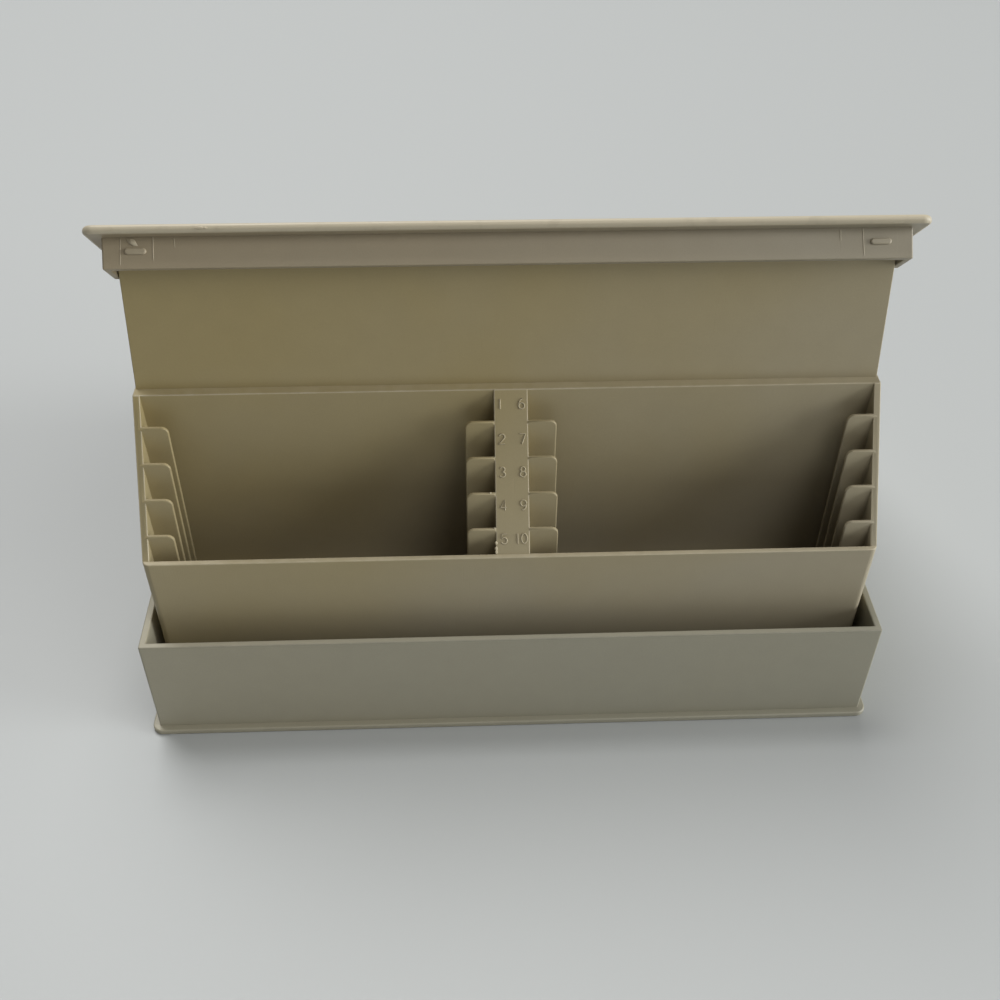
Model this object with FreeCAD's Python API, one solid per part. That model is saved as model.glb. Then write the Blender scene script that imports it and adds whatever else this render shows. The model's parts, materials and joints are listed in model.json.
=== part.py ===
# Storage case for ten 3.5 inch disks: an open tub, a lid hinged along the tub's rear top edge,
# and a two-pocket disk tray that hangs from the front of the lid and stands on the tub's floor.
# Millimetres. X runs to the right, Y to the back and Z up, with the origin under the middle of the
# tub, on the surface that the case stands on. The case is modelled open, as it is used.

import FreeCAD, Part

import math
import os

Vector = FreeCAD.Vector

# Driving dimensions of the tub
case_width = 204.0
case_depth = 151.0
rim_height = 35.0
tub_wall = 1.9
tub_draft = 0.2
floor_thickness = 1.8
flange_overhang = 1.8
flange_corner_radius = 3.0
tub_corner_radius = 0.6
edge_radius = 0.5
rim_edge_radius = 0.4

# Driving dimensions of the lid
lid_thickness = 2.2
lid_edge_radius = 1.0
skirt_depth = 7.8
skirt_wall = 1.9
skirt_gap_front = 0.5
skirt_gap_side = 0.3
skirt_draft = 0.25
skirt_corner_radius = 0.5
skirt_edge_radius = 0.3
lug_length = 15.0
lug_corner_radius = 5.0
stiffener_depth = 2.0
stiffener_end_gap = 6.0

# Hinge between the tub and the lid
hinge_radius = 2.5
hinge_pin_radius = 1.25
hinge_gap = 0.3
pin_clearance = 0.05
pin_end_gap = 0.2

# Snap bumps on the lid's front skirt, and the recesses they click into
bump_length = 5.3
bump_height = 1.6
bump_depth = 0.6
bump_edge_radius = 0.45
bump_inset = 8.3
bump_rise = 4.3
recess_margin = 0.5
recess_depth = 0.7

# Pivot that hangs the tray from the lid's front lugs
pivot_behind_skirt = 5.2
pivot_below_plate = 3.5
pivot_height = 129.4
bead_radius = 1.8
bead_side_gap = 0.5
pivot_pin_radius = 1.45

# Driving dimensions of the tray
tray_floor_gap = 0.3
tray_front_setback = 9.4
tray_front_wall = 1.55
tray_front_height = 57.0
tray_half_width_at_front_rim = 98.65
tray_side_draft_degrees = 1.2
tray_wall = 1.9
tray_corner_radius = 2.0
rim_slope_degrees = 53.75
ledge_height = 92.4
panel_setback = 2.85
panel_thickness = 1.9
panel_foot_inset = 0.4
back_wall = 1.8
tray_edge_radius = 0.4
panel_edge_radius = 0.3

# Disk slots and the ribs between them
slot_count = 5
front_slot_width = 3.55
slot_pitch = 5.65
slot_rise = 6.8
rib_thickness = 1.0
riser_extra = 0.5
side_rib_length = 6.9
centre_rib_length = 7.7
rib_corner_radius = 1.9
rib_edge_radius = 0.35
strip_width = 9.0
strip_wall = 1.6
strip_top = 1.9

# Places worked out from the driving dimensions
front = -case_depth / 2
half_width = case_width / 2
lid_underside = rim_height
lid_top = rim_height + lid_thickness
hinge_y = case_depth / 2 - hinge_radius
hinge_z = lid_top - hinge_radius
inner_half_width = half_width - tub_wall
skirt_half_width = inner_half_width - skirt_gap_side
skirt_front = front + tub_wall + skirt_gap_front
lug_inner = skirt_half_width - skirt_wall
far = 400.0

# The tray's pivot travels on a circle about the hinge, so the height of the standing tray sets how
# far the lid is open
closed_pivot_y = skirt_front + pivot_behind_skirt
closed_pivot_z = lid_underside - pivot_below_plate
pivot_reach = math.hypot(hinge_y - closed_pivot_y, hinge_z - closed_pivot_z)
closed_pivot_angle = math.atan2(closed_pivot_z - hinge_z, hinge_y - closed_pivot_y)
open_pivot_angle = math.asin((pivot_height - hinge_z) / pivot_reach)
lid_open_degrees = math.degrees(open_pivot_angle - closed_pivot_angle)
pivot_y = hinge_y - pivot_reach * math.cos(open_pivot_angle)
pivot_z = pivot_height

# The tray's side view, from its front wall to the panel behind it
rim_slope = math.tan(math.radians(rim_slope_degrees))
tray_draft = math.tan(math.radians(tray_side_draft_degrees))
tray_front = front + tray_front_setback
pocket_front = tray_front + tray_front_wall
tray_bottom = floor_thickness + tray_floor_gap
first_floor = tray_bottom + tray_wall
rib_fronts = [pocket_front + front_slot_width + i * slot_pitch for i in range(slot_count - 1)]
slot_floors = [first_floor + i * slot_rise for i in range(slot_count)]
pocket_back = pocket_front + (ledge_height - tray_front_height) / rim_slope
panel_front = pocket_back + panel_setback
panel_lean = math.atan2(pivot_y - panel_thickness / 2 - panel_front, pivot_z - ledge_height)
panel_skew = panel_thickness / math.cos(panel_lean)


def block(x0, x1, y0, y1, z0, z1):
    """A box between two corners."""
    return Part.makeBox(x1 - x0, y1 - y0, z1 - z0, Vector(x0, y0, z0))


def prism_along_x(points, x0, x1):
    """A side view, given as (y, z) points, extruded from x0 to x1."""
    loop = [Vector(x0, y, z) for y, z in points]
    outline = Part.makePolygon(loop + loop[:1])
    return Part.Face(outline).extrude(Vector(x1 - x0, 0, 0))


def prism_along_y(points, y0, y1):
    """A front view, given as (x, z) points, extruded from y0 to y1."""
    loop = [Vector(x, y0, z) for x, z in points]
    outline = Part.makePolygon(loop + loop[:1])
    return Part.Face(outline).extrude(Vector(0, y1 - y0, 0))


def rod_along_x(x0, x1, y, z, radius):
    """A round bar parallel to X."""
    return Part.makeCylinder(radius, x1 - x0, Vector(x0, y, z), Vector(1, 0, 0))


def both_sides(shape):
    """The shape and its mirror image in the case's middle plane."""
    return [shape, shape.mirror(Vector(0, 0, 0), Vector(1, 0, 0))]


def rectangle(x_half, y0, y1, z):
    """A closed rectangular wire in a level plane."""
    corners = [(-x_half, y0), (x_half, y0), (x_half, y1), (-x_half, y1)]
    loop = [Vector(x, y, z) for x, y in corners]
    return Part.makePolygon(loop + loop[:1])


def edges_where(shape, test):
    """The straight or curved edges whose two ends both pass a test."""
    chosen = []
    for edge in shape.Edges:
        ends = [vertex.Point for vertex in edge.Vertexes]
        if all(test(point) for point in ends):
            chosen.append(edge)
    return chosen


def near(value, target):
    """True where two lengths agree to within a hundredth of a millimetre."""
    return abs(value - target) < 0.01


def upright(edge):
    """True for an edge that runs straight up."""
    ends = [vertex.Point for vertex in edge.Vertexes]
    return len(ends) == 2 and near(ends[0].x, ends[1].x) and near(ends[0].y, ends[1].y)


def rising(edge):
    """True for an edge whose ends differ in height."""
    ends = [vertex.Point for vertex in edge.Vertexes]
    return len(ends) == 2 and not near(ends[0].z, ends[1].z)


def slab(x_half, y0, y1, z0, z1, corner_radius, ease):
    """A flat plate with rounded corners and eased edges."""
    plate = block(-x_half, x_half, y0, y1, z0, z1)
    plate = plate.makeFillet(corner_radius, [edge for edge in plate.Edges if upright(edge)])
    level = [edge for edge in plate.Edges if not upright(edge)]
    return plate.makeFillet(ease, level)


def make_base():
    """The tub: a floor plate that overhangs all round, four thin walls and the hinge ears."""
    rear = -front
    plate = slab(half_width + flange_overhang, front - flange_overhang, rear + flange_overhang,
                 0, floor_thickness, flange_corner_radius, edge_radius)

    foot = rectangle(half_width - tub_draft, front + tub_draft, rear - tub_draft, floor_thickness / 2)
    top = rectangle(half_width, front, rear, rim_height)
    walls = Part.makeLoft([foot, top], True, True)
    walls = walls.makeFillet(tub_corner_radius, [edge for edge in walls.Edges if rising(edge)])
    inner_foot = rectangle(inner_half_width - tub_draft, front + tub_wall + tub_draft,
                           rear - tub_wall - tub_draft, floor_thickness)
    inner_top = rectangle(inner_half_width, front + tub_wall, rear - tub_wall, rim_height)
    cavity = Part.makeLoft([inner_foot, inner_top], True, True)
    walls = walls.cut(cavity)
    walls = walls.makeFillet(rim_edge_radius, edges_where(walls, lambda p: near(p.z, rim_height)))

    # The rear wall stops under the lid's hinge barrel
    barrel_bottom = hinge_z - hinge_radius - hinge_gap
    notch = block(-inner_half_width, inner_half_width, hinge_y - hinge_radius - hinge_gap, rear + 1,
                  barrel_bottom, lid_top)
    walls = walls.cut(notch)

    # An ear at the rear of each side wall holds one end of the barrel
    ear = rod_along_x(inner_half_width, half_width, hinge_y, hinge_z, hinge_radius)
    base = plate.fuse([walls] + both_sides(ear))

    hole = rod_along_x(inner_half_width - 1, half_width + 1, hinge_y, hinge_z,
                       hinge_pin_radius + pin_clearance)
    bump_x = skirt_half_width - bump_inset
    bump_z = lid_underside - skirt_depth + bump_rise
    recess = block(bump_x - bump_length / 2 - recess_margin, bump_x + bump_length / 2 + recess_margin,
                   front + tub_wall - recess_depth, front + tub_wall + 1,
                   bump_z - bump_height / 2 - recess_margin, bump_z + bump_height / 2 + recess_margin)
    base = base.cut(both_sides(hole) + both_sides(recess))
    return base.removeSplitter()


def make_bump():
    """One snap bump on the outer face of the lid's front skirt, right-hand side."""
    centre_x = skirt_half_width - bump_inset
    centre_z = lid_underside - skirt_depth + bump_rise
    radius = bump_height / 2
    straight = bump_length / 2 - radius
    left = centre_x - straight
    right = centre_x + straight
    y = skirt_front + skirt_wall / 2
    top_line = Part.LineSegment(Vector(left, y, centre_z + radius), Vector(right, y, centre_z + radius))
    right_arc = Part.Arc(Vector(right, y, centre_z + radius), Vector(right + radius, y, centre_z),
                         Vector(right, y, centre_z - radius))
    bottom_line = Part.LineSegment(Vector(right, y, centre_z - radius), Vector(left, y, centre_z - radius))
    left_arc = Part.Arc(Vector(left, y, centre_z - radius), Vector(left - radius, y, centre_z),
                        Vector(left, y, centre_z + radius))
    outline = Part.Wire([curve.toShape() for curve in (top_line, right_arc, bottom_line, left_arc)])
    reach = skirt_wall / 2 + bump_depth
    bump = Part.Face(outline).extrude(Vector(0, -reach, 0))
    nose = edges_where(bump, lambda p: near(p.y, y - reach))
    return bump.makeFillet(bump_edge_radius, nose)


def make_lid():
    """The lid, first closed on the tub and then swung open about the hinge."""
    rear_end = hinge_y - hinge_radius - hinge_gap
    plate = block(-half_width - flange_overhang, half_width + flange_overhang,
                  front - flange_overhang, rear_end, lid_underside, lid_top)
    front_corners = [edge for edge in plate.Edges
                     if upright(edge) and near(edge.Vertexes[0].Point.y, front - flange_overhang)]
    plate = plate.makeFillet(flange_corner_radius, front_corners)
    rounded = [edge for edge in plate.Edges
               if not upright(edge) and not near(edge.CenterOfMass.y, rear_end)]
    plate = plate.makeFillet(lid_edge_radius, rounded)

    barrel_half = inner_half_width - hinge_gap
    web = block(-barrel_half, barrel_half, rear_end - 1, hinge_y, lid_underside, lid_top)
    barrel = rod_along_x(-barrel_half, barrel_half, hinge_y, hinge_z, hinge_radius)
    pin = rod_along_x(barrel_half - 1, half_width - pin_end_gap, hinge_y, hinge_z, hinge_pin_radius)

    # The skirt hangs inside the tub's walls: full depth in front and beside the tray's pivot
    skirt_bottom = lid_underside - skirt_depth
    outline = [(-skirt_half_width, lid_underside), (skirt_half_width, lid_underside),
               (skirt_half_width - skirt_draft, skirt_bottom), (-skirt_half_width + skirt_draft, skirt_bottom)]
    skirt = prism_along_y(outline, skirt_front, skirt_front + lug_length)
    skirt = skirt.makeFillet(skirt_corner_radius,
                             [edge for edge in skirt.Edges if rising(edge)
                              and near(edge.CenterOfMass.y, skirt_front)])
    hollow = block(-lug_inner, lug_inner, skirt_front + skirt_wall, skirt_front + lug_length + 1,
                   skirt_bottom - 1, lid_underside)
    skirt = skirt.cut(hollow)
    lug_ends = edges_where(skirt, lambda p: near(p.y, skirt_front + lug_length) and near(p.z, skirt_bottom))
    skirt = skirt.makeFillet(lug_corner_radius, lug_ends)
    skirt = skirt.makeFillet(skirt_edge_radius, edges_where(skirt, lambda p: near(p.z, skirt_bottom)))
    stiffener = block(lug_inner, skirt_half_width, skirt_front + lug_length - 1, rear_end - stiffener_end_gap,
                      lid_underside - stiffener_depth, lid_underside)

    lid = plate.fuse([web, barrel, skirt] + both_sides(pin) + both_sides(stiffener) + both_sides(make_bump()))
    pivot_hole = rod_along_x(lug_inner - 1, skirt_half_width + 1, closed_pivot_y, closed_pivot_z,
                             pivot_pin_radius + pin_clearance)
    lid = lid.cut(both_sides(pivot_hole)).removeSplitter()
    lid.rotate(Vector(0, hinge_y, hinge_z), Vector(-1, 0, 0), lid_open_degrees)
    return lid


def rim_z(y):
    """Height of the tray's sloping rim at a given depth."""
    return tray_front_height + (y - pocket_front) * rim_slope


def tray_half_width(z):
    """Half the tray's outer width at a given height: the sides draft outwards."""
    return tray_half_width_at_front_rim + (z - tray_front_height) * tray_draft


def tray_side_view():
    """The tray body seen from the side: sloping rim above, one step under each slot below."""
    points = [(tray_front, tray_bottom), (tray_front, tray_front_height),
              (pocket_front, tray_front_height), (pocket_back, ledge_height)]
    points += [(panel_front + panel_skew, ledge_height), (panel_front + panel_skew, ledge_height - tray_wall),
               (pocket_back + back_wall, ledge_height - tray_wall)]
    points += [(pocket_back + back_wall, slot_floors[-1] - tray_wall)]
    for rib_front, floor_above, floor_below in zip(reversed(rib_fronts), reversed(slot_floors[1:]),
                                                   reversed(slot_floors[:-1])):
        riser_back = rib_front + rib_thickness + riser_extra
        points += [(riser_back, floor_above - tray_wall), (riser_back, floor_below - tray_wall)]
    return points


def pocket_side_view():
    """The room inside one pocket seen from the side, with its stepped floor."""
    points = [(pocket_front, far), (pocket_front, slot_floors[0])]
    for rib_front, floor_below, floor_above in zip(rib_fronts, slot_floors[:-1], slot_floors[1:]):
        points += [(rib_front, floor_below), (rib_front, floor_above)]
    points += [(pocket_back, slot_floors[-1]), (pocket_back, far)]
    return points


def drafted_sides(inset, y0, y1, z0, z1):
    """A block as wide as the tray less an inset on each side, with the tray's draft."""
    low = rectangle(tray_half_width(z0) - inset, y0, y1, z0)
    high = rectangle(tray_half_width(z1) - inset, y0, y1, z1)
    return Part.makeLoft([low, high], True, True)


def make_rib(x_root, x_free, rib_front, floor, top):
    """One divider rib with its free top corner rounded."""
    sign = 1 if x_free > x_root else -1
    radius = rib_corner_radius
    y = rib_front
    low_root = Vector(x_root, y, floor)
    low_free = Vector(x_free, y, floor)
    side_end = Vector(x_free, y, top - radius)
    arc_middle = Vector(x_free - sign * radius * (1 - math.sqrt(0.5)), y, top - radius * (1 - math.sqrt(0.5)))
    top_start = Vector(x_free - sign * radius, y, top)
    top_root = Vector(x_root, y, top)
    curves = [Part.LineSegment(low_root, low_free), Part.LineSegment(low_free, side_end),
              Part.Arc(side_end, arc_middle, top_start), Part.LineSegment(top_start, top_root),
              Part.LineSegment(top_root, low_root)]
    outline = Part.Wire([curve.toShape() for curve in curves])
    rib = Part.Face(outline).extrude(Vector(0, rib_thickness, 0))
    rims = [edge for edge in rib.Edges
            if near(edge.Vertexes[0].Point.y, edge.Vertexes[1].Point.y)
            and edge.CenterOfMass.z > floor + rib_edge_radius
            and abs(edge.CenterOfMass.x - x_root) > rib_edge_radius]
    return rib.makeFillet(rib_edge_radius, rims)


def make_tray():
    """The disk tray: two pockets of five slots, the panel behind them and its pivot bead."""
    rear_limit = panel_front + panel_skew
    shell = drafted_sides(0, tray_front, rear_limit + 1, tray_bottom, ledge_height)
    front_corners = [edge for edge in shell.Edges
                     if all(near(vertex.Point.y, tray_front) for vertex in edge.Vertexes)
                     and not near(edge.Vertexes[0].Point.z, edge.Vertexes[1].Point.z)]
    shell = shell.makeFillet(tray_corner_radius, front_corners)
    body = shell.common(prism_along_x(tray_side_view(), -half_width, half_width))

    room = drafted_sides(tray_wall, tray_front, rear_limit, tray_bottom, far)
    room = room.common(prism_along_x(pocket_side_view(), -half_width, half_width))
    strip = block(-strip_width / 2, strip_width / 2, tray_front - 1, rear_limit, 0, far)
    body = body.cut(room.cut(strip))
    front_rim = edges_where(body, lambda p: near(p.y, tray_front) and near(p.z, tray_front_height))
    body = body.makeFillet(tray_edge_radius, front_rim)

    # The strip between the pockets is hollow from below
    strip_drop = strip_top / math.cos(math.radians(rim_slope_degrees))
    core = prism_along_x([(pocket_front, 0), (pocket_front, rim_z(pocket_front) - strip_drop),
                          (pocket_back, rim_z(pocket_back) - strip_drop), (pocket_back, 0)],
                         -strip_width / 2 + strip_wall, strip_width / 2 - strip_wall)
    body = body.cut(core)

    ribs = []
    for rib_front, floor in zip(rib_fronts, slot_floors[1:]):
        top = rim_z(rib_front + rib_thickness / 2)
        root = tray_half_width(top) - tray_wall
        side = make_rib(root + tray_wall / 2, root - side_rib_length, rib_front, floor - tray_wall / 2, top)
        centre = make_rib(strip_width / 2 - strip_wall / 2, strip_width / 2 + centre_rib_length, rib_front,
                          floor - tray_wall / 2, top)
        ribs += both_sides(side) + both_sides(centre)

    # The panel leans back to the pivot and narrows towards it, to pass between the lid's lugs
    run = (pivot_z - ledge_height) * math.tan(panel_lean)
    panel_foot = ledge_height - tray_wall
    foot_run = tray_wall * math.tan(panel_lean)
    panel = prism_along_x([(panel_front - foot_run, panel_foot), (panel_front + run, pivot_z),
                           (panel_front + run + panel_skew, pivot_z),
                           (panel_front - foot_run + panel_skew, panel_foot)], -half_width, half_width)
    foot_half = tray_half_width(ledge_height) - panel_foot_inset
    top_half = lug_inner - bead_side_gap
    spread = (foot_half - top_half) / (pivot_z - ledge_height) * tray_wall
    taper = prism_along_y([(-foot_half - spread, panel_foot), (foot_half + spread, panel_foot),
                           (top_half, pivot_z), (-top_half, pivot_z)], front, -front)
    panel = panel.common(taper)
    panel = panel.makeFillet(panel_edge_radius, [edge for edge in panel.Edges if rising(edge)])
    bead = rod_along_x(-top_half, top_half, pivot_y, pivot_z, bead_radius)
    pin = rod_along_x(top_half - 1, skirt_half_width - pin_end_gap, pivot_y, pivot_z, pivot_pin_radius)

    tray = body.fuse(ribs + [panel, bead] + both_sides(pin))
    return tray.removeSplitter()


def main():
    os.makedirs("parts", exist_ok=True)
    pieces = {"base": make_base(), "lid": make_lid(), "tray": make_tray()}
    for name, shape in pieces.items():
        shape.exportStep(os.path.join("parts", name + ".step"))
        box = shape.BoundBox
        print(f"{name}: {len(shape.Solids)} solid, {shape.Volume / 1000:.1f} cm3, valid {shape.isValid()}, "
              f"x {box.XMin:.1f} to {box.XMax:.1f}, y {box.YMin:.1f} to {box.YMax:.1f}, "
              f"z {box.ZMin:.1f} to {box.ZMax:.1f}")
    print(f"lid open {lid_open_degrees:.2f} degrees, hinge at y {hinge_y:.3f} z {hinge_z:.3f}, "
          f"tray pivot at y {pivot_y:.3f} z {pivot_z:.3f}, panel leans {math.degrees(panel_lean):.2f} degrees")


main()
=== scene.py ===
# %% [markdown]
# # A storage case for 3.5 inch disks
#
# The case is three mouldings of aged beige plastic. A low tub stands on the table. A shallow lid
# is hinged along the tub's rear edge. Between them stands a tray with two pockets of stepped
# slots, which hangs from the lid's front and props it open.
#
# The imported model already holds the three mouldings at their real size, so this script loads it
# as a fixed frame and spends its effort on finish: plastic that has yellowed unevenly, softened
# edges, raised slot numbers, mould lines, and the small knocks of a case that was used for years.

# %%
import json
import math

import bmesh
import bpy
from mathutils import Matrix, Vector, noise


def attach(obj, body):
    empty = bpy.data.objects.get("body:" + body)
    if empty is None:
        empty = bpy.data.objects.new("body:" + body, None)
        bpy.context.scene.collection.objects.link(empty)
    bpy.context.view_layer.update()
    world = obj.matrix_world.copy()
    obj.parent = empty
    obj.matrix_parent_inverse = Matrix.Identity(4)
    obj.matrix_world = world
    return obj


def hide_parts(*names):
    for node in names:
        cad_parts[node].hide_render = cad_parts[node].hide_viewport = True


MM = 0.001
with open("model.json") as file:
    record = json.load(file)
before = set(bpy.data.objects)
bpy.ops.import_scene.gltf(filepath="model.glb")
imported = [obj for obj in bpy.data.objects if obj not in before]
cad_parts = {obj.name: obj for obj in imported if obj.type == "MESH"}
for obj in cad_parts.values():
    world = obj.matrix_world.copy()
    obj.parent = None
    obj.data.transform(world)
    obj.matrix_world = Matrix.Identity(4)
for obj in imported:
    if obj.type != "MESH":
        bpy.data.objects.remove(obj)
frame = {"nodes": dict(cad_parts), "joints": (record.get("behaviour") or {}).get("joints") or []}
scene = bpy.context.scene
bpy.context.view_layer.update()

# %% [markdown]
# ## Facts read from the frame
#
# The lid is modelled open, but places on it are easiest to give as they are when it is closed and
# lies flat. The hinge's place comes from the joint list, and the angle from the lid's largest flat
# face. The strip between the tray's pockets slopes, and two plumb lines dropped on it tell how.
# Reading such facts from the model, instead of typing them again, keeps the script right when the
# model's sizes change.

# %%
STRIP_REAR_Y = -40 * MM
STRIP_FRONT_Y = -63 * MM

hinge = next(joint for joint in frame["joints"] if joint["name"] == "lid_hinge")
HINGE_PLACE = Vector(hinge["pos_m"])
lid_plate = max(frame["nodes"]["lid"].data.polygons, key=lambda face: face.area)
LID_OPEN = math.atan2(abs(lid_plate.normal.y), abs(lid_plate.normal.z))
SWING = Matrix.Rotation(LID_OPEN, 4, Vector(hinge["axis"]))


def swung_open(place):
    """A point of the closed lid, where it is with the lid open."""
    return HINGE_PLACE + SWING @ (place - HINGE_PLACE)


def swung_closed(place):
    """A point of the open lid, where it is with the lid closed."""
    return HINGE_PLACE + SWING.inverted() @ (place - HINGE_PLACE)


def drop_onto(piece, start, direction):
    """Where a straight line from start first meets a piece, and the surface's outward direction there."""
    hit, point, normal, face = piece.ray_cast(start, direction.normalized())
    if not hit:
        raise ValueError(f"nothing of {piece.name} lies that way from {start}")
    return point, normal


bpy.context.view_layer.update()
strip_rear, strip_outward = drop_onto(frame["nodes"]["tray"], Vector((0, STRIP_REAR_Y, 0.2)), Vector((0, 0, -1)))
strip_front, strip_outward = drop_onto(frame["nodes"]["tray"], Vector((0, STRIP_FRONT_Y, 0.2)), Vector((0, 0, -1)))
STRIP_UP = (strip_rear - strip_front).normalized()
print("lid open by", round(math.degrees(LID_OPEN), 2), "degrees; strip rises at",
      round(math.degrees(math.asin(STRIP_UP.z)), 2), "degrees")

# %% [markdown]
# ## The camera
#
# The camera comes first, because everything else is judged through it. It stands in front of the
# case and looks down at it. A camera could be aimed with a Track To constraint, but that can't
# hold a roll, and a hand-held photo nearly always has a little. So the script builds the camera's
# own three directions from pitch, yaw and roll, and puts them in a matrix.

# %%
CAMERA_PLACE = Vector((-14.17, -300.99, 283.0)) * MM
CAMERA_PITCH_DOWN = math.radians(41.153)
CAMERA_YAW = math.radians(2.539)
CAMERA_ROLL = math.radians(0.501)
CAMERA_LENS = 43.91
CAMERA_SENSOR = 36.0


def make_camera():
    """The photo's viewpoint: a matrix from pitch, yaw and roll."""
    forward = Vector((math.sin(CAMERA_YAW) * math.cos(CAMERA_PITCH_DOWN),
                      math.cos(CAMERA_YAW) * math.cos(CAMERA_PITCH_DOWN), -math.sin(CAMERA_PITCH_DOWN)))
    level_right = Vector((math.cos(CAMERA_YAW), -math.sin(CAMERA_YAW), 0))
    level_up = level_right.cross(forward)
    right = math.cos(CAMERA_ROLL) * level_right + math.sin(CAMERA_ROLL) * level_up
    up = math.cos(CAMERA_ROLL) * level_up - math.sin(CAMERA_ROLL) * level_right
    data = bpy.data.cameras.new("camera")
    data.lens = CAMERA_LENS
    data.sensor_width = CAMERA_SENSOR
    data.clip_start = 0.01
    data.clip_end = 20
    camera = bpy.data.objects.new("camera", data)
    camera.matrix_world = Matrix.Translation(CAMERA_PLACE) @ Matrix((right, up, -forward)).transposed().to_4x4()
    scene.collection.objects.link(camera)
    scene.camera = camera
    return camera


camera = make_camera()
print("camera looks towards", [round(v, 3) for v in camera.matrix_world.to_quaternion() @ Vector((0, 0, -1))])

# %% [markdown]
# ## Floor and light
#
# The case stands on a pale laminate top. On the real table the light comes from three places: a
# window high behind the case, to its left, which throws the soft shadow forwards; a low window on
# the right, which gives every upright edge a bright right side; and the room in front. An image of
# a room could light the scene in one go, but three big disks are easier to read and to change. A
# fourth share comes from the world, which is even and weak. The camera sees the world in a
# brighter grey than it lights with, so the backdrop stays pale without more light on the case.

# %%
FLOOR_COLOUR = (0.475, 0.49, 0.485)
FLOOR_HALF = 2.5
WORLD_STRENGTH = 0.15
BACKDROP_STRENGTH = 0.5
LIGHT_AIM = Vector((0, 0, 0.05))
# Name: degrees round from +X, degrees up, distance, disk diameter, power in watts, colour
LAMPS = {
    "window_behind": (115, 62, 2.4, 1.6, 47.0, (1.0, 1.0, 1.0)),
    "window_right": (350, 8, 3.6, 2.35, 142.0, (0.96, 0.99, 1.0)),
    "room_in_front": (315, 52, 2.4, 1.6, 13.0, (1.0, 0.99, 0.97)),
}


def add_node(tree, kind, **settings):
    """A new node. Settings that are socket names, with _ for a space, fill sockets; others are properties."""
    node = tree.nodes.new(kind)
    for key, value in settings.items():
        socket = node.inputs.get(key.replace("_", " "))
        if socket is None:
            setattr(node, key, value)
        else:
            socket.default_value = value
    return node


def new_material(name):
    """A fresh node material, with its node tree and its Principled shader."""
    material = bpy.data.materials.new(name)
    material.use_nodes = True
    tree = material.node_tree
    return material, tree, tree.nodes["Principled BSDF"]


def make_floor():
    """A wide plane just under the case, in a pale laminate with a faint grain."""
    mesh = bpy.data.meshes.new("floor")
    h = FLOOR_HALF
    mesh.from_pydata([(-h, -h, 0), (h, -h, 0), (h, h, 0), (-h, h, 0)], [], [(0, 1, 2, 3)])
    floor = bpy.data.objects.new("floor", mesh)
    floor.location.z = -0.02 * MM
    scene.collection.objects.link(floor)
    material, tree, shader = new_material("pale_laminate")
    shader.inputs["Base Color"].default_value = (*FLOOR_COLOUR, 1)
    place = add_node(tree, "ShaderNodeTexCoord")
    grain = add_node(tree, "ShaderNodeTexNoise", Scale=900.0, Detail=2.0)
    rough = add_node(tree, "ShaderNodeMapRange", To_Min=0.48, To_Max=0.62)
    bump = add_node(tree, "ShaderNodeBump", Strength=0.15, Distance=0.03 * MM)
    tree.links.new(place.outputs["Object"], grain.inputs["Vector"])
    tree.links.new(grain.outputs["Fac"], rough.inputs["Value"])
    tree.links.new(rough.outputs["Result"], shader.inputs["Roughness"])
    tree.links.new(grain.outputs["Fac"], bump.inputs["Height"])
    tree.links.new(bump.outputs["Normal"], shader.inputs["Normal"])
    mesh.materials.append(material)
    return floor


def make_lamps():
    """The three soft disks, each turned to face the case."""
    for name, (around, up, distance, size, power, colour) in LAMPS.items():
        around = math.radians(around)
        up = math.radians(up)
        data = bpy.data.lights.new(name, "AREA")
        data.shape = "DISK"
        data.size = size
        data.energy = power
        data.color = colour
        lamp = bpy.data.objects.new(name, data)
        lamp.location = LIGHT_AIM + distance * Vector((math.cos(up) * math.cos(around),
                                                       math.cos(up) * math.sin(around), math.sin(up)))
        lamp.rotation_euler = (LIGHT_AIM - lamp.location).to_track_quat("-Z", "Y").to_euler()
        scene.collection.objects.link(lamp)


def make_world():
    """An even, weak light all round, and a pale backdrop for rays that come straight from the camera."""
    world = bpy.data.worlds.new("room")
    world.use_nodes = True
    tree = world.node_tree
    light = tree.nodes["Background"]
    light.inputs["Color"].default_value = (1.0, 0.99, 0.97, 1)
    light.inputs["Strength"].default_value = WORLD_STRENGTH
    backdrop = add_node(tree, "ShaderNodeBackground", Color=(0.98, 1.0, 0.99, 1), Strength=BACKDROP_STRENGTH)
    path = add_node(tree, "ShaderNodeLightPath")
    choose = add_node(tree, "ShaderNodeMixShader")
    tree.links.new(path.outputs["Is Camera Ray"], choose.inputs[0])
    tree.links.new(light.outputs[0], choose.inputs[1])
    tree.links.new(backdrop.outputs[0], choose.inputs[2])
    tree.links.new(choose.outputs[0], tree.nodes["World Output"].inputs["Surface"])
    scene.world = world


make_floor()
make_lamps()
make_world()
scene.view_settings.view_transform = "Standard"
print("lamps:", sorted(LAMPS))

# %% [markdown]
# ## The plastic
#
# All three mouldings are one family of beige plastic, but they have aged apart. The tray went
# olive at its tall back panel and stayed greyer at its front wall. The lid is warmer, and the tub,
# which was handled and wiped most, is greyer.
#
# The same recipe makes all three, so it is one function with the tones as inputs, and two points:
# the place where the piece aged least and the one where it aged most. The yellowing grows from one
# to the other, and a cloud as wide as a hand makes it uneven. A mottle of a few millimetres and a
# fine speck follow. The meshes below give their faces a number. Where it is above zero, the recipe
# mixes in a paler tone, broken up by noise: a painted highlight on rounded edges, with a little edge
# wear. Where it is below zero, and in corners that the Ambient Occlusion node finds, it mixes in a
# darker tone: painted shade. Roughness and bump share a fine moulded grain, a slow waviness from
# uneven cooling, and some hair scratches.

# %%
# Each face's number: above zero a painted highlight, with a little edge wear; below zero painted shade.
EDGE_MARK = "painted_light_and_wear"


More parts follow.
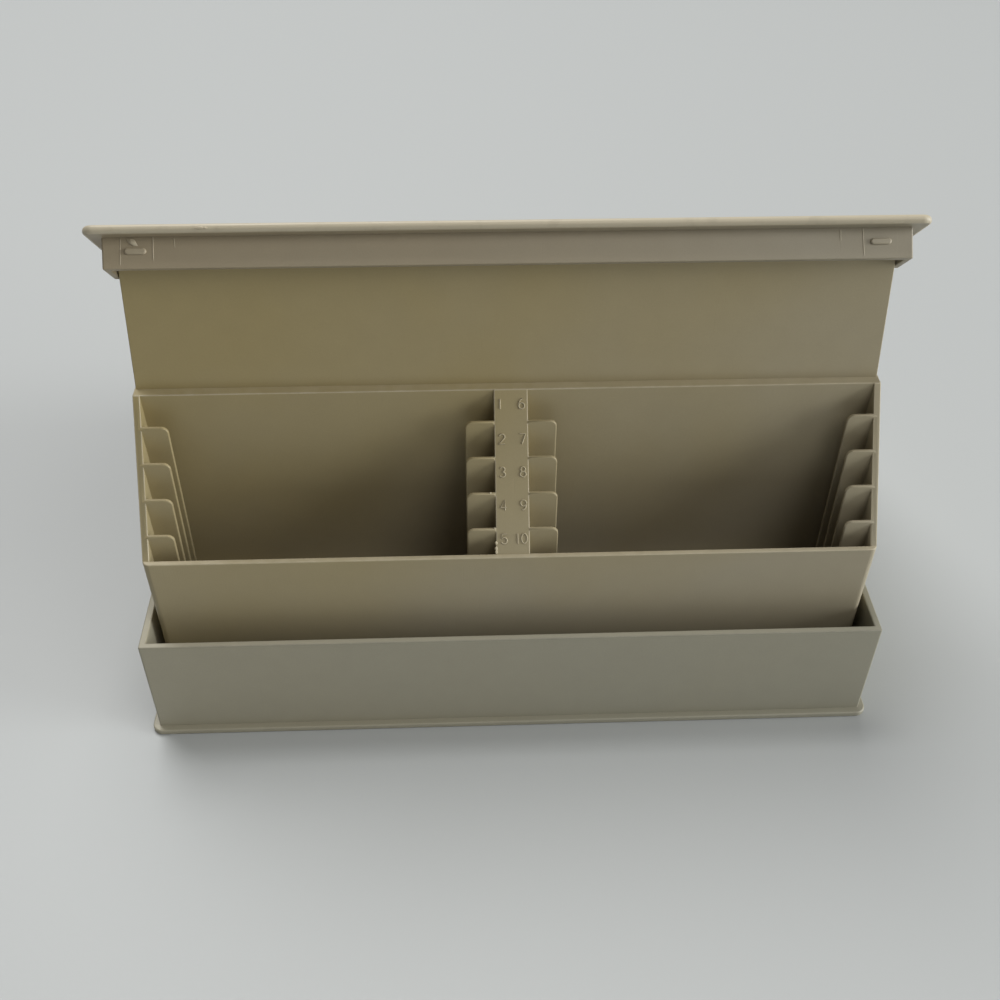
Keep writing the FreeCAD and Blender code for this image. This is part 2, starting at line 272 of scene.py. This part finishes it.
def mix_colours(tree, factor, first, second, how="MIX"):
    """Mixes two colours; each may be a socket or a plain colour, and the factor a socket or a number."""
    mix = add_node(tree, "ShaderNodeMix", data_type="RGBA", blend_type=how)
    for socket, value in ((mix.inputs[0], factor), (mix.inputs[6], first), (mix.inputs[7], second)):
        if isinstance(value, bpy.types.NodeSocket):
            tree.links.new(value, socket)
        elif isinstance(value, (int, float)):
            socket.default_value = value
        else:
            socket.default_value = (*value, 1)
    return mix.outputs[2]


def noise_range(tree, place, scale, detail, low, high, start=0.3, stop=0.7):
    """A noise pattern stretched to run from low to high."""
    noise = add_node(tree, "ShaderNodeTexNoise", Scale=scale, Detail=detail)
    reach = add_node(tree, "ShaderNodeMapRange", From_Min=start, From_Max=stop, To_Min=low, To_Max=high)
    tree.links.new(place, noise.inputs["Vector"])
    tree.links.new(noise.outputs["Fac"], reach.inputs["Value"])
    return reach.outputs["Result"]


def calculate(tree, operation, first, second):
    """One Math node; each input may be a socket or a number."""
    maths = add_node(tree, "ShaderNodeMath", operation=operation)
    for socket, value in zip(maths.inputs, (first, second)):
        if isinstance(value, bpy.types.NodeSocket):
            tree.links.new(value, socket)
        else:
            socket.default_value = value
    return maths.outputs[0]


def hair_scratches(tree, place, turn, scale):
    """Thin, long, sparse lines: a noise that is stretched out along one direction."""
    stretch = add_node(tree, "ShaderNodeMapping", Rotation=turn, Scale=(scale, scale * 0.02, scale * 0.02))
    noise = add_node(tree, "ShaderNodeTexNoise", Scale=1.0, Detail=1.0)
    thin = add_node(tree, "ShaderNodeMapRange", From_Min=0.70, From_Max=0.76)
    tree.links.new(place, stretch.inputs["Vector"])
    tree.links.new(stretch.outputs["Vector"], noise.inputs["Vector"])
    tree.links.new(noise.outputs["Fac"], thin.inputs["Value"])
    return thin.outputs["Result"]


def ageing(tree, place, least, most):
    """A number that grows from 0 at the place that aged least to 1 at the place that aged most."""
    way = (Vector(most) - Vector(least)) * MM
    offset = add_node(tree, "ShaderNodeVectorMath", operation="SUBTRACT")
    offset.inputs[1].default_value = Vector(least) * MM
    along = add_node(tree, "ShaderNodeVectorMath", operation="DOT_PRODUCT")
    along.inputs[1].default_value = way / way.length_squared
    tree.links.new(place, offset.inputs[0])
    tree.links.new(offset.outputs["Vector"], along.inputs[0])
    return along.outputs["Value"]


def aged_plastic(name, tone, yellowed, highlight_gain, least, most, seed):
    """Moulded beige plastic: tone at the place that aged least, yellowed where it aged most."""
    material, tree, shader = new_material(name)
    coordinates = add_node(tree, "ShaderNodeTexCoord")
    shift = add_node(tree, "ShaderNodeMapping", Location=(seed, seed * 0.7, seed * 0.3))
    tree.links.new(coordinates.outputs["Object"], shift.inputs["Vector"])
    place = shift.outputs["Vector"]

    cloud = noise_range(tree, place, 11.0, 3.0, -0.3, 0.3)
    aged = calculate(tree, "ADD", ageing(tree, coordinates.outputs["Object"], least, most), cloud)
    aged.node.use_clamp = True
    colour = mix_colours(tree, aged, tone, yellowed)
    mottle = noise_range(tree, place, 160.0, 4.0, 0.985, 1.015)
    colour = mix_colours(tree, 1.0, colour, mottle, "MULTIPLY")
    speck = noise_range(tree, place, 2600.0, 1.0, 0.975, 1.025, 0.2, 0.8)
    colour = mix_colours(tree, 1.0, colour, speck, "MULTIPLY")

    # Painted shade: corners that the Ambient Occlusion node finds are mixed towards a darker tone.
    corner = add_node(tree, "ShaderNodeAmbientOcclusion", Distance=3 * MM, samples=4)
    corner_shade = add_node(tree, "ShaderNodeMapRange", From_Min=0.7, From_Max=0.25, To_Min=0.0, To_Max=0.2)
    tree.links.new(corner.outputs["AO"], corner_shade.inputs["Value"])
    shade_tone = [part * 0.55 for part in tone]
    colour = mix_colours(tree, corner_shade.outputs["Result"], colour, shade_tone)

    # Painted highlight, with a little edge wear: faces whose number is above zero are mixed towards a paler tone.
    edge = add_node(tree, "ShaderNodeAttribute", attribute_name=EDGE_MARK)
    broken = noise_range(tree, place, 300.0, 2.0, 0.55, 1.0)
    light_shade_wear = calculate(tree, "MULTIPLY", edge.outputs["Fac"], broken)
    colour = mix_colours(tree, light_shade_wear, colour, [part * highlight_gain for part in tone])
    # Painted shade: faces whose number is below zero are mixed towards the darker tone.
    colour = mix_colours(tree, calculate(tree, "MULTIPLY", light_shade_wear, -1.0), colour, shade_tone)
    tree.links.new(colour, shader.inputs["Base Color"])

    scratches = calculate(tree, "MAXIMUM", hair_scratches(tree, place, (0, 0.3, 0.5), 2600.0),
                          hair_scratches(tree, place, (0.2, 1.2, 0.1), 3100.0))
    patches = noise_range(tree, place, 45.0, 4.0, 0.40, 0.56)
    finish = calculate(tree, "ADD", patches, calculate(tree, "MULTIPLY", scratches, 0.08))
    tree.links.new(finish, shader.inputs["Roughness"])

    grain = noise_range(tree, place, 3200.0, 2.0, 0.0, 1.0, 0.0, 1.0)
    wave = noise_range(tree, place, 26.0, 1.0, 0.0, 1.0, 0.0, 1.0)
    fine_bump = add_node(tree, "ShaderNodeBump", Strength=0.35, Distance=0.03 * MM)
    slow_bump = add_node(tree, "ShaderNodeBump", Strength=0.5, Distance=0.5 * MM)
    worn = calculate(tree, "SUBTRACT", grain, calculate(tree, "MULTIPLY", scratches, 0.8))
    tree.links.new(worn, fine_bump.inputs["Height"])
    tree.links.new(wave, slow_bump.inputs["Height"])
    tree.links.new(slow_bump.outputs["Normal"], fine_bump.inputs["Normal"])
    tree.links.new(fine_bump.outputs["Normal"], shader.inputs["Normal"])
    return material


tub_plastic = aged_plastic("tub_plastic", (0.350, 0.333, 0.258), (0.362, 0.333, 0.246), 1.45,
                           (100, 0, 0), (-100, 0, 0), 3.1)
lid_plastic = aged_plastic("lid_plastic", (0.334, 0.294, 0.214), (0.346, 0.286, 0.190), 1.55,
                           (100, 0, 60), (-100, 0, 60), 7.7)
tray_plastic = aged_plastic("tray_plastic", (0.384, 0.337, 0.236), (0.370, 0.295, 0.138), 1.38,
                            (20, -66, 30), (-20, -36, 110), 5.3)
print("plastics:", [m.name for m in (tub_plastic, lid_plastic, tray_plastic)])

# %% [markdown]
# ## The three mouldings, with their edges softened
#
# A moulded edge is never knife sharp: it ends in a radius of a few tenths of a millimetre, and that
# radius catches the light as a thin pale line. The photo shows such lines along the tray's rim, the
# ribs, the skirt's lower edge and the ledge.
#
# The Bevel modifier could round every edge of the imported meshes, but they come as loose triangles,
# which share no corners. So each moulding is copied and its doubles are merged. Flat areas lose
# their inner triangle edges, and then bmesh rounds each outside edge that turns more than 50
# degrees. The new faces get a mark, which the plastic reads to paint a highlight on them, with a
# little edge wear. Some other faces get a painted highlight too, and the top of the tub's front wall
# gets painted shade. A Weighted Normal modifier keeps the big faces flat to the eye while the small
# ones blend round. Rounding only takes material away, so the size stays true.

# %%
EDGE_RADIUS = 0.28 * MM
SHARP_TURN = math.radians(50)
MERGE_DISTANCE = 0.02 * MM
SLIVER_AREA = 0.01 * MM * MM
LID_UNDERSIDE_Z = 35.0 * MM
NOSE_Y = -76.2 * MM
NOSE_X = 102.7 * MM
BUMP_Y = -73.2 * MM
LEDGE_Z = 92.4 * MM
TUB_RIM_Z = 34.0 * MM
TUB_FRONT_Y = -72.5 * MM
FRONT_RIM_Y = -64.55 * MM
FRONT_RIM_Z = 57.0 * MM
FOOT_TOP_Z = 2.2 * MM
STRIP_HALF = 4.5 * MM
RIB_ROOT = 1.0 * MM
RIB_CUTS_X = (STRIP_HALF + 0.4 * MM, 96.3 * MM)
WALL_INSIDE_X = 96.6 * MM
WEDGE_HEIGHT = 0.6 * MM
TRAY_SIDE_LOW = 45 * MM
TRAY_SIDE_HIGH = 75 * MM


def highlight_share(place, outward):
    """How much painted highlight a face gets where light catches it: the lid's nose, the tray's front rim, the bump,
    the ledge, the tub's foot.
    """
    closed = swung_closed(place)
    on_nose = closed.z > LID_UNDERSIDE_Z and (closed.y < NOSE_Y or abs(closed.x) > NOSE_X)
    on_rim = outward.z > 0.3 and FRONT_RIM_Z - MM < place.z < FRONT_RIM_Z + 0.1 * MM and place.y < FRONT_RIM_Y
    on_foot = place.z < FOOT_TOP_Z and 0.2 < outward.z < 0.95
    on_bump = closed.z < LID_UNDERSIDE_Z and closed.y < BUMP_Y
    on_ledge = outward.z > 0.9 and abs(place.z - LEDGE_Z) < 0.3 * MM
    if on_nose:
        return 1.4
    if on_rim:
        return 0.75
    if on_bump or on_ledge:
        return 0.4
    return 0.12 if on_foot else 0.0


def shade_share(place, outward):
    """How much painted shade a face gets: the top of the tub's front wall, which the tray and lid shade."""
    on_tub_rim = outward.z > 0.1 and TUB_RIM_Z < place.z < LID_UNDERSIDE_Z + 0.1 * MM and place.y < TUB_FRONT_Y
    return 0.4 if on_tub_rim else 0.0


def above_strip(place):
    """How far a point is above the plane of the strip, straight up."""
    return place.z - strip_front.z - (place.y - strip_front.y) * STRIP_UP.z / STRIP_UP.y


side_low, side_outward = drop_onto(frame["nodes"]["tray"], Vector((0.2, -0.05, TRAY_SIDE_LOW)), Vector((-1, 0, 0)))
side_high, side_outward = drop_onto(frame["nodes"]["tray"], Vector((0.2, -0.05, TRAY_SIDE_HIGH)), Vector((-1, 0, 0)))
SIDE_LEAN = (side_high.x - side_low.x) / (TRAY_SIDE_HIGH - TRAY_SIDE_LOW)


def tuck_rib_ends(work):
    """Ends the ribs where they meet the strip and the side walls, which their level tops would poke through."""
    for x in (*RIB_CUTS_X, *(-cut for cut in RIB_CUTS_X)):
        bmesh.ops.bisect_plane(work, geom=[*work.verts, *work.edges, *work.faces], plane_co=(x, 0, 0),
                               plane_no=(1, 0, 0))
    for vert in work.verts:
        across = abs(vert.co.x)
        rise = above_strip(vert.co)
        wall = side_low.x + (vert.co.z - TRAY_SIDE_LOW) * SIDE_LEAN
        if STRIP_HALF - RIB_ROOT < across < STRIP_HALF and rise > -MERGE_DISTANCE:
            vert.co.x = math.copysign(STRIP_HALF, vert.co.x)
        over_slope = across < STRIP_HALF + MERGE_DISTANCE or across > WALL_INSIDE_X
        if over_slope and 0 < rise < WEDGE_HEIGHT and FRONT_RIM_Y < vert.co.y < STRIP_REAR_Y:
            vert.co.z -= rise
        if vert.co.z < TRAY_SIDE_LOW and wall < across < wall + 0.3 * MM:
            vert.co.x = math.copysign(wall, vert.co.x)


def level_strip(work):
    """Brings the corners of the strip's sloping face onto its plane."""
    strip = max((face for face in work.faces if face.normal.dot(strip_outward) > 0.95
                 and abs(face.calc_center_median().x) < MM), key=lambda face: face.calc_area())
    for vert in strip.verts:
        vert.co.z -= above_strip(vert.co)
    return len(strip.verts)


def is_sharp(edge):
    """True for an outside edge that turns more than SHARP_TURN, and isn't the rim of a sliver."""
    return (edge.is_manifold and edge.calc_face_angle_signed() > SHARP_TURN
            and min(face.calc_area() for face in edge.link_faces) > SLIVER_AREA)


def soften(mesh, radius, ribbed, whole_tub):
    """Merges a mesh, rounds its sharp outside edges and marks the faces that this adds."""
    work = bmesh.new()
    work.from_mesh(mesh)
    bmesh.ops.remove_doubles(work, verts=work.verts, dist=MERGE_DISTANCE)
    if ribbed:
        tuck_rib_ends(work)
        bmesh.ops.remove_doubles(work, verts=work.verts, dist=MERGE_DISTANCE)
    bmesh.ops.dissolve_limit(work, angle_limit=math.radians(0.3), verts=work.verts, edges=work.edges)
    work.normal_update()
    mark = work.faces.layers.float.new(EDGE_MARK)
    sharp = [edge for edge in work.edges if is_sharp(edge)]
    rounded = bmesh.ops.bevel(work, geom=sharp, offset=radius, segments=2, profile=0.5, affect="EDGES",
                              clamp_overlap=False)
    work.normal_update()
    if ribbed:
        level_strip(work)
        work.normal_update()
    # Painted highlight where the number is above zero, painted shade where it is below; the faces that rounding adds
    # get a full painted highlight.
    for face in work.faces:
        centre = face.calc_center_median()
        face[mark] = highlight_share(centre, face.normal) - shade_share(centre, face.normal) * whole_tub
        face.smooth = True
    for face in rounded["faces"]:
        face[mark] = 1.0
    for edge in work.edges:
        edge.smooth = edge.is_manifold and edge.calc_face_angle() < math.radians(40)
    work.to_mesh(mesh)
    work.free()
    return len(sharp)


def moulding(node_name, piece_name, material):
    """A softened copy of one CAD node, which stands for it and rides with its body."""
    mesh = frame["nodes"][node_name].data.copy()
    mesh.name = piece_name
    rounded = soften(mesh, EDGE_RADIUS, node_name == "tray", node_name == "base")
    mesh.materials.clear()
    mesh.materials.append(material)
    piece = bpy.data.objects.new(piece_name, mesh)
    scene.collection.objects.link(piece)
    piece.modifiers.new("even_normals", "WEIGHTED_NORMAL").keep_sharp = True
    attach(piece, node_name)
    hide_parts(node_name)
    print(piece_name, "edges rounded:", rounded, "faces:", len(mesh.polygons))
    return piece


tub = moulding("base", "tub_moulding", tub_plastic)
lid = moulding("lid", "lid_moulding", lid_plastic)
tray = moulding("tray", "tray_moulding", tray_plastic)

# %% [markdown]
# ## Raised lines: slot numbers and mould marks
#
# The strip between the pockets carries the slot numbers 1 to 10, raised by a hair's breadth. The
# lid's skirt has a few thin raised lines, where inserts in the mould met. All of these are one
# thing, a narrow round-topped line that follows a path on a surface, so one Geometry Nodes tree
# makes them. It turns bare edges into curves and sweeps a small circle along them, half sunk in
# the plastic. Its inputs are the line's width and the material. Ready-made text would also give
# numbers, but its strokes are far heavier than the single thin line of the real ones.
#
# The paths are found on the mouldings themselves: each point of a mould mark is dropped onto the surface by a ray,
# and the numbers lie on the strip's plane, which two such rays find, so the lines sit right however the surface
# leans.

# %%
LINE_SIDES = 8


def raised_line_tree():
    """The node tree: edges in, thin round-topped lines out."""
    tree = bpy.data.node_groups.new("raised_line", "GeometryNodeTree")
    tree.interface.new_socket("Geometry", in_out="INPUT", socket_type="NodeSocketGeometry")
    tree.interface.new_socket("Line Width", in_out="INPUT", socket_type="NodeSocketFloat")
    tree.interface.new_socket("Highlight And Wear", in_out="INPUT", socket_type="NodeSocketFloat")
    tree.interface.new_socket("Plastic", in_out="INPUT", socket_type="NodeSocketMaterial")
    tree.interface.new_socket("Geometry", in_out="OUTPUT", socket_type="NodeSocketGeometry")
    entry = add_node(tree, "NodeGroupInput")
    path = add_node(tree, "GeometryNodeMeshToCurve")
    circle = add_node(tree, "GeometryNodeCurvePrimitiveCircle", Resolution=LINE_SIDES)
    half = add_node(tree, "ShaderNodeMath", operation="MULTIPLY")
    half.inputs[1].default_value = 0.5
    girth = add_node(tree, "GeometryNodeInputNamedAttribute", Name="girth")
    sweep = add_node(tree, "GeometryNodeCurveToMesh", Fill_Caps=True)
    # The lines' faces store the number that the plastic reads as a painted highlight.
    mark = add_node(tree, "GeometryNodeStoreNamedAttribute", data_type="FLOAT", domain="FACE")
    mark.inputs["Name"].default_value = EDGE_MARK
    real = add_node(tree, "GeometryNodeRealizeInstances")
    smooth = add_node(tree, "GeometryNodeSetShadeSmooth")
    paint = add_node(tree, "GeometryNodeSetMaterial")
    leave = add_node(tree, "NodeGroupOutput")
    link = tree.links.new
    link(entry.outputs["Geometry"], path.inputs["Mesh"])
    link(entry.outputs["Line Width"], half.inputs[0])
    link(half.outputs[0], circle.inputs["Radius"])
    link(path.outputs["Curve"], sweep.inputs["Curve"])
    link(circle.outputs["Curve"], sweep.inputs["Profile Curve"])
    link(girth.outputs["Attribute"], sweep.inputs["Scale"])
    link(sweep.outputs["Mesh"], smooth.inputs["Geometry"])
    link(smooth.outputs["Geometry"], mark.inputs["Geometry"])
    link(entry.outputs["Highlight And Wear"], mark.inputs["Value"])
    link(mark.outputs["Geometry"], real.inputs["Geometry"])
    link(real.outputs["Geometry"], paint.inputs["Geometry"])
    link(entry.outputs["Plastic"], paint.inputs["Material"])
    link(paint.outputs["Geometry"], leave.inputs["Geometry"])
    return tree


def sweep_lines(name, paths, width, light_shade_wear, material, body):
    """One mesh with a raised line along each path. A path is a list of (point, girth)."""
    verts = []
    edges = []
    girths = []
    for path in paths:
        start = len(verts)
        verts += [point for point, girth in path]
        girths += [girth for point, girth in path]
        edges += [(start + i, start + i + 1) for i in range(len(path) - 1)]
    wires = bpy.data.meshes.new(name + "_paths")
    wires.from_pydata(verts, edges, [])
    wires.attributes.new("girth", "FLOAT", "POINT").data.foreach_set("value", girths)
    maker = bpy.data.objects.new(name + "_maker", wires)
    scene.collection.objects.link(maker)
    modifier = maker.modifiers.new("raised_line", "NODES")
    modifier.node_group = line_tree
    inputs = {"Line Width": width, "Highlight And Wear": light_shade_wear, "Plastic": material}
    for item in line_tree.interface.items_tree:
        if item.in_out == "INPUT" and item.name in inputs:
            modifier[item.identifier] = inputs[item.name]
    evaluated = maker.evaluated_get(bpy.context.evaluated_depsgraph_get())
    mesh = bpy.data.meshes.new_from_object(evaluated)
    bpy.data.objects.remove(maker)
    mesh.name = name
    piece = bpy.data.objects.new(name, mesh)
    scene.collection.objects.link(piece)
    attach(piece, body)
    print(name, "paths:", len(paths), "faces:", len(mesh.polygons))
    return piece


line_tree = raised_line_tree()
bpy.context.view_layer.update()

# %% [markdown]
# ### The slot numbers
#
# Each figure is drawn in a box one unit high from straight strokes and parts of ellipses, as the
# mould maker cut them. The left column is numbered 1 to 5 from the rear, and the right one 6 to 10.

# %%
FIGURE_HEIGHT = 2.65 * MM
FIGURE_STROKE = 0.38 * MM
FIGURE_LIFT = 0.06 * MM
LEFT_COLUMN_X = (-2.9, -2.5, -2.55, -2.35, -2.4)
RIGHT_COLUMN_X = (2.85, 3.0, 2.95, 2.95, 2.15)
ROWS_UP_THE_SLOPE = (40.0, 30.7, 21.9, 13.0, 4.0)


def bend(x, y, across, up, start, stop):
    """Part of an ellipse about (x, y), from one angle to another in degrees."""
    count = max(3, int(abs(stop - start) / 20))
    turns = [math.radians(start + (stop - start) * i / count) for i in range(count + 1)]
    return [(x + across * math.cos(t), y + up * math.sin(t)) for t in turns]


FIGURES = {
    "0": [bend(0, 0, 0.29, 0.5, 90, 450)],
    "1": [[(0, -0.5), (0, 0.5)]],
    "2": [bend(0, 0.23, 0.27, 0.27, 165, -35) + [(-0.3, -0.5), (0.32, -0.5)]],
    "3": [bend(0, 0.26, 0.24, 0.24, 150, -90) + bend(0, -0.24, 0.29, 0.26, 90, -150)],
    "4": [[(0.14, -0.5), (0.14, 0.5), (-0.32, -0.22), (0.32, -0.22)]],
    "5": [[(0.26, 0.5), (-0.2, 0.5), (-0.25, 0.06)] + bend(0, -0.18, 0.3, 0.32, 130, -150)],
    "6": [bend(0.12, -0.1, 0.41, 0.6, 90, 165) + bend(0, -0.2, 0.29, 0.3, 170, 530)],
    "7": [[(-0.3, 0.5), (0.3, 0.5), (-0.08, -0.5)]],
    "8": [bend(0, 0.26, 0.23, 0.24, -90, 270), bend(0, -0.23, 0.29, 0.27, 90, 450)],
    "9": [bend(0, 0.2, 0.29, 0.3, -10, 350) + bend(-0.12, 0.1, 0.41, 0.6, -15, -90)],
}
FIGURE_STEP = 0.66


def slot_numbers():
    """The paths of all ten numbers, laid on the strip between the pockets."""
    foot = strip_front + STRIP_UP * ((FRONT_RIM_Y - strip_front.y) / STRIP_UP.y)
    paths = []
    for first, column in ((1, LEFT_COLUMN_X), (6, RIGHT_COLUMN_X)):
        for row, (x, along) in enumerate(zip(column, ROWS_UP_THE_SLOPE)):
            text = str(first + row)
            for place, figure in enumerate(text):
                shift = (place - (len(text) - 1) / 2) * FIGURE_STEP
                for stroke in FIGURES[figure]:
                    paths.append([(foot + Vector((x * MM + (shift + u) * FIGURE_HEIGHT, 0, 0))
                                   + STRIP_UP * (along * MM + v * FIGURE_HEIGHT)
                                   + strip_outward * FIGURE_LIFT, 1.0)
                                  for u, v in stroke])
    return paths


# The numbers' strokes get a painted highlight.
numbers = sweep_lines("slot_numbers", slot_numbers(), FIGURE_STROKE, 0.7, tray_plastic, "tray")

# %% [markdown]
# ### Mould marks on the lid's skirt
#
# These lines run down the skirt's front face near its ends, some to the lower edge and some only a
# short way. It is easiest to give their places on the closed lid, where the skirt hangs straight
# down, and to swing them open with the lid. The hinge and the angle come from the frame.

# %%
SKIRT_FACE_Y = -73.1 * MM
SKIRT_DEPTH = 7.8 * MM
MARK_WIDTH = 0.36 * MM
# Across from the middle, where it starts and ends below the lid in parts of the skirt, lean, girth
SKIRT_MARKS = [
    (-95.2, 0.05, 0.98, 0.0, 0.8),
    (-87.3, 0.0, 0.80, 0.1, 1.0),
    (-82.2, 0.05, 0.38, 0.25, 0.8),
    (81.5, 0.06, 0.46, -0.1, 1.0),
    (87.1, 0.03, 0.97, 0.15, 1.0),
    (95.7, 0.1, 0.97, -0.4, 0.5),
]


def on_skirt(x, below):
    """A point on the skirt's front face, from its place on the closed lid."""
    closed = Vector((x, SKIRT_FACE_Y - 5 * MM, LID_UNDERSIDE_Z - below))
    inward = SWING @ Vector((0, 1, 0))
    return drop_onto(lid, swung_open(closed), inward)


def skirt_marks():
    """The paths of the mould marks."""
    paths = []
    for x, start, stop, lean, girth in SKIRT_MARKS:
        path = []
        for i in range(7):
            share = i / 6
            below = SKIRT_DEPTH * (start + (stop - start) * share)
            point, outward = on_skirt((x + lean * share * share) * MM, below)
            taper = girth * min(1.0, 0.35 + 4 * (1 - share))
            path.append((point - outward * 0.08 * MM, taper))
        paths.append(path)
    return paths


# The mould marks get a painted highlight.
marks = sweep_lines("skirt_marks", skirt_marks(), MARK_WIDTH, 0.5, lid_plastic, "lid")

# %% [markdown]
# ## Knocks
#
# A case that has been carried about has small bruises: a leaf-shaped scrape above the left snap
# bump, a torn sliver on the lid's nose, crumbs of flash on the strip's edge and on two ribs, and a
# ragged stretch on the tub's foot at each front corner. Each is a little mound of plastic that
# stands out of the surface. A ball squashed along three directions and roughened by noise makes
# all of them, half sunk so that it grows out of what carries it. All the knocks on one moulding
# are one mesh.

# %%
def add_lump(work, mark, centre, along, outward, length, width, height, seed):
    """A leaf-shaped mound: length along the surface, width across it, and height out of it."""
    across = outward.cross(along).normalized()
    along = across.cross(outward).normalized()
    ball = bmesh.ops.create_icosphere(work, subdivisions=3, radius=1)
    for vert in ball["verts"]:
        u, v, w = vert.co
        ragged = 1 + 0.35 * noise.noise(vert.co * 1.8 + Vector((seed, 0, 0)))
        leaf = 1 - 0.7 * u * u
        vert.co = (centre + along * (u * length / 2) + across * (v * leaf * ragged * width / 2)
                   + outward * (w * leaf * ragged * height))
    # Painted highlight: every face of a lump is marked to be mixed paler.
    for face in {face for vert in ball["verts"] for face in vert.link_faces}:
        face[mark] = 1.0
        face.smooth = True


def knocks(name, lumps, material, body):
    """One mesh of lumps, each given as the last arguments of add_lump."""
    work = bmesh.new()
    mark = work.faces.layers.float.new(EDGE_MARK)
    for seed, lump in enumerate(lumps):
        add_lump(work, mark, *lump, seed * 3.7)
    bmesh.ops.recalc_face_normals(work, faces=work.faces)
    mesh = bpy.data.meshes.new(name)
    work.to_mesh(mesh)
    work.free()
    mesh.materials.append(material)
    piece = bpy.data.objects.new(name, mesh)
    scene.collection.objects.link(piece)
    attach(piece, body)
    print(name, "lumps:", len(lumps))
    return piece


def lid_lumps():
    """The scrape above the left snap bump and the torn sliver on the lid's nose."""
    leaf, outward = on_skirt(-92.3 * MM, 1.25 * MM)
    slant = SWING @ Vector((0.82, 0, -0.57))
    sliver, nose_outward = drop_onto(lid, swung_open(Vector((-75, -80, 35.9)) * MM), SWING @ Vector((0, 1, 0)))
    right = Vector((1, 0, 0))
    return [(leaf, slant, outward, 3.3 * MM, 1.5 * MM, 0.35 * MM),
            (sliver, right, nose_outward, 3.0 * MM, 0.8 * MM, 0.2 * MM),
            (sliver + Vector((1.2, 0, 0)) * MM, right, nose_outward, 1.4 * MM, 0.6 * MM, 0.22 * MM)]


def tray_lumps():
    """Flash on the strip's left edge near the front, and on two of the ribs beside it."""
    lumps = []
    for along, length in ((2.9, 1.3), (1.4, 1.5), (0.4, 1.5)):
        centre = strip_front + STRIP_UP * ((FRONT_RIM_Y - strip_front.y) / STRIP_UP.y + along * MM)
        centre.x = -STRIP_HALF
        lumps.append((centre, STRIP_UP, Vector((-0.8, -0.4, 0.3)).normalized(), length * MM, 0.6 * MM, 0.4 * MM))
    for x, y in ((-5.9, -54.85), (-4.9, -60.5)):
        centre, outward = drop_onto(tray, Vector((x * MM, y * MM, 0.085)), Vector((0, 0, -1)))
        lumps.append((centre, Vector((1, 0, 0)), outward, 0.8 * MM, 0.6 * MM, 0.25 * MM))
    return lumps


# Places and lengths along the foot's front edge in millimetres
FOOT_EDGE_Y = -76.95
FOOT_EDGE_Z = 1.55
FOOT_FLASH = ((-99.0, 1.6), (-97.2, 1.2), (-95.1, 2.2), (-92.6, 1.3), (-89.9, 1.8), (99.3, 1.4), (101.0, 1.0))


def tub_lumps():
    """Ragged flash along the foot's front edge, near both corners."""
    right = Vector((1, 0, 0))
    outward = Vector((0, -0.5, 0.86))
    return [(Vector((x, FOOT_EDGE_Y, FOOT_EDGE_Z)) * MM, right, outward, length * MM, 0.5 * MM, 0.16 * MM)
            for x, length in FOOT_FLASH]


knocks("lid_knocks", lid_lumps(), lid_plastic, "lid")
knocks("tray_knocks", tray_lumps(), tray_plastic, "tray")
knocks("tub_knocks", tub_lumps(), tub_plastic, "base")
